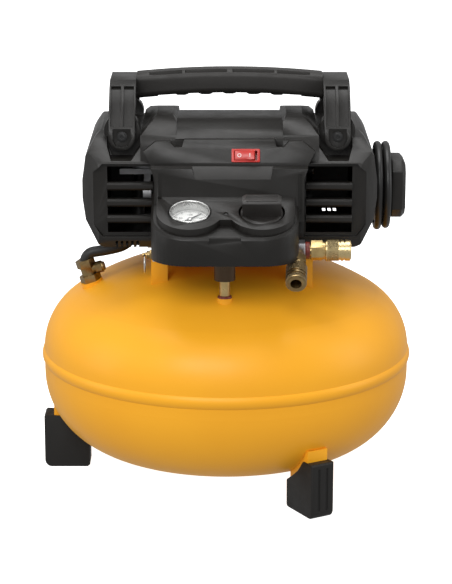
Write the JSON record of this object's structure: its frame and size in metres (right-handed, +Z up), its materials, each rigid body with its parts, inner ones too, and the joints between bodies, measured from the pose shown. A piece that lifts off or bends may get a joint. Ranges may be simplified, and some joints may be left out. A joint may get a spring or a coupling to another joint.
{
  "type": "pancake air compressor",
  "caption": "Portable pancake air compressor: flat round tank on rubber feet, belt-driven pump and motor under a shroud, console with gauge, regulator and switch, quick couplers and wound cord.",
  "frame": {"origin": "on the floor, under the axis of the round tank", "axes": "+Z up, -Y towards the user at the console, +X to the user's right"},
  "size_m": [0.419, 0.419, 0.4653],
  "materials": {
    "tank_paint": "warm yellow satin paint",
    "tank_shell_low": "warm yellow satin paint",
    "foot_rubber": "black moulded rubber",
    "brass": "machined, lightly tarnished",
    "zinc_steel": "zinc plated",
    "motor_paint": "black",
    "laminations": "stacked sheet",
    "inner_plastic": "black",
    "cast_iron": "as cast",
    "belt_rubber": "black",
    "cast_aluminium": "as cast",
    "machined_aluminium": "machined",
    "bearing_steel": "ground",
    "sealant": "dark red, cured",
    "hose_rubber": "black braided hose",
    "shroud_plastic": "textured near-black",
    "gauge_steel": "bright",
    "dial_white": "white",
    "needle_black": "black",
    "lens": "clear",
    "knob_plastic": "near-black",
    "switch_red": "red",
    "grip_rubber": "soft near-black",
    "cord_rubber": "black"
  },
  "bodies": {
    "frame": {"tank_upper_head": "tank_paint", "tank_lower_head": "tank_shell_low", "tank_weld_band": "tank_paint", "tank_bungs": "tank_paint", "foot_bracket_left": "tank_paint", "foot_bracket_front": "tank_paint", "foot_bracket_rear": "tank_paint", "rubber_foot_left": "foot_rubber", "rubber_foot_front": "foot_rubber", "rubber_foot_rear": "foot_rubber", "drain_valve_body": "brass", "pump_platform": "tank_paint", "rubber_isolators": "foot_rubber", "pump_base_plate": "zinc_steel", "motor_housing": "motor_paint", "motor_stator": "laminations", "drive_belt": "belt_rubber", "crankcase": "cast_aluminium", "shaft_bearings": "bearing_steel", "cylinder": "cast_aluminium", "cylinder_head": "cast_aluminium", "manifold": "machined_aluminium", "riser_nipple": "brass", "thread_sealant": "sealant", "side_coupler_body": "brass", "front_coupler_body": "brass", "relief_valve_body": "brass", "check_valve": "brass", "discharge_hose": "hose_rubber", "front_cover": "shroud_plastic", "rear_cover": "shroud_plastic", "control_console": "shroud_plastic", "gauge_case": "gauge_steel", "gauge_dial": "dial_white", "gauge_lens": "lens", "switch_bezel": "switch_red", "pressure_switch": "inner_plastic", "handle_left_saddle": "shroud_plastic", "handle_right_saddle": "shroud_plastic", "handle_grip": "grip_rubber", "handle_bolts": "motor_paint", "cord_wrap": "shroud_plastic", "cord_gland": "cord_rubber", "cord_lead": "cord_rubber", "cord_coil": "cord_rubber", "power_plug": "cord_rubber"},
    "drain_knob": {"drain_valve_knob": "brass"},
    "rotor": {"armature": "laminations", "motor_pulley": "zinc_steel", "motor_fan": "inner_plastic"},
    "crank": {"crankshaft": "cast_iron", "crank_pulley": "cast_iron"},
    "piston": {"piston_rod": "cast_aluminium"},
    "side_sleeve": {"side_coupler_sleeve": "brass"},
    "front_sleeve": {"front_coupler_sleeve": "brass"},
    "relief_stem": {"relief_valve_stem": "brass"},
    "relief_ring": {"relief_pull_ring": "zinc_steel"},
    "regulator": {"regulator_knob": "knob_plastic"},
    "needle": {"gauge_needle": "needle_black"},
    "rocker": {"switch_rocker": "switch_red"}
  },
  "joints": [
    {"name": "motor_spin", "type": "hinge", "parent": "frame", "child": "rotor", "pos_m": [0.03, 0.045, 0.338], "axis": [1, 0, 0], "continuous": true},
    {"name": "crank_spin", "type": "hinge", "parent": "frame", "child": "crank", "pos_m": [-0.05, -0.034, 0.328], "axis": [1, 0, 0], "continuous": true},
    {"name": "piston_slide", "type": "slide", "parent": "frame", "child": "piston", "axis": [0, 0, 1], "range_m": [-0.011, 0.011]},
    {"name": "side_sleeve_slide", "type": "slide", "parent": "frame", "child": "side_sleeve", "axis": [-1, 0, 0], "range_m": [0, 0.003], "stiffness_N_per_m": 800, "springref_m": -0.004},
    {"name": "front_sleeve_slide", "type": "slide", "parent": "frame", "child": "front_sleeve", "axis": [0.0499, 0.9124, 0.4062], "range_m": [0, 0.003], "stiffness_N_per_m": 800, "springref_m": -0.004},
    {"name": "relief_pull", "type": "slide", "parent": "frame", "child": "relief_stem", "axis": [-1, 0, 0], "range_m": [0, 0.003], "stiffness_N_per_m": 2000, "springref_m": -0.002},
    {"name": "relief_ring_swing", "type": "hinge", "parent": "relief_stem", "child": "relief_ring", "pos_m": [-0.0866, -0.141, 0.2845], "axis": [0, 1, 0], "range_deg": [-4, 100]},
    {"name": "regulator_turn", "type": "hinge", "parent": "frame", "child": "regulator", "pos_m": [0.0375, -0.166, 0.3374], "axis": [0, -0.3256, 0.9455], "range_deg": [-540, 540]},
    {"name": "needle_swing", "type": "hinge", "parent": "frame", "child": "needle", "pos_m": [-0.038, -0.16307, 0.32889], "axis": [0, -0.3256, 0.9455], "range_deg": [-86, 184]},
    {"name": "rocker_press", "type": "hinge", "parent": "frame", "child": "rocker", "pos_m": [0.021, -0.11399, 0.38525], "axis": [0, 0.4299, 0.9029], "range_deg": [0, 16]},
    {"name": "drain_turn", "type": "hinge", "parent": "frame", "child": "drain_knob", "pos_m": [0, 0.0265, 0.0095], "axis": [0, 1, 0], "range_deg": [0, 540]}
  ],
  "couplings": [
    {"joint": "crank_spin", "follows": "motor_spin", "ratio": 0.26087}
  ]
}
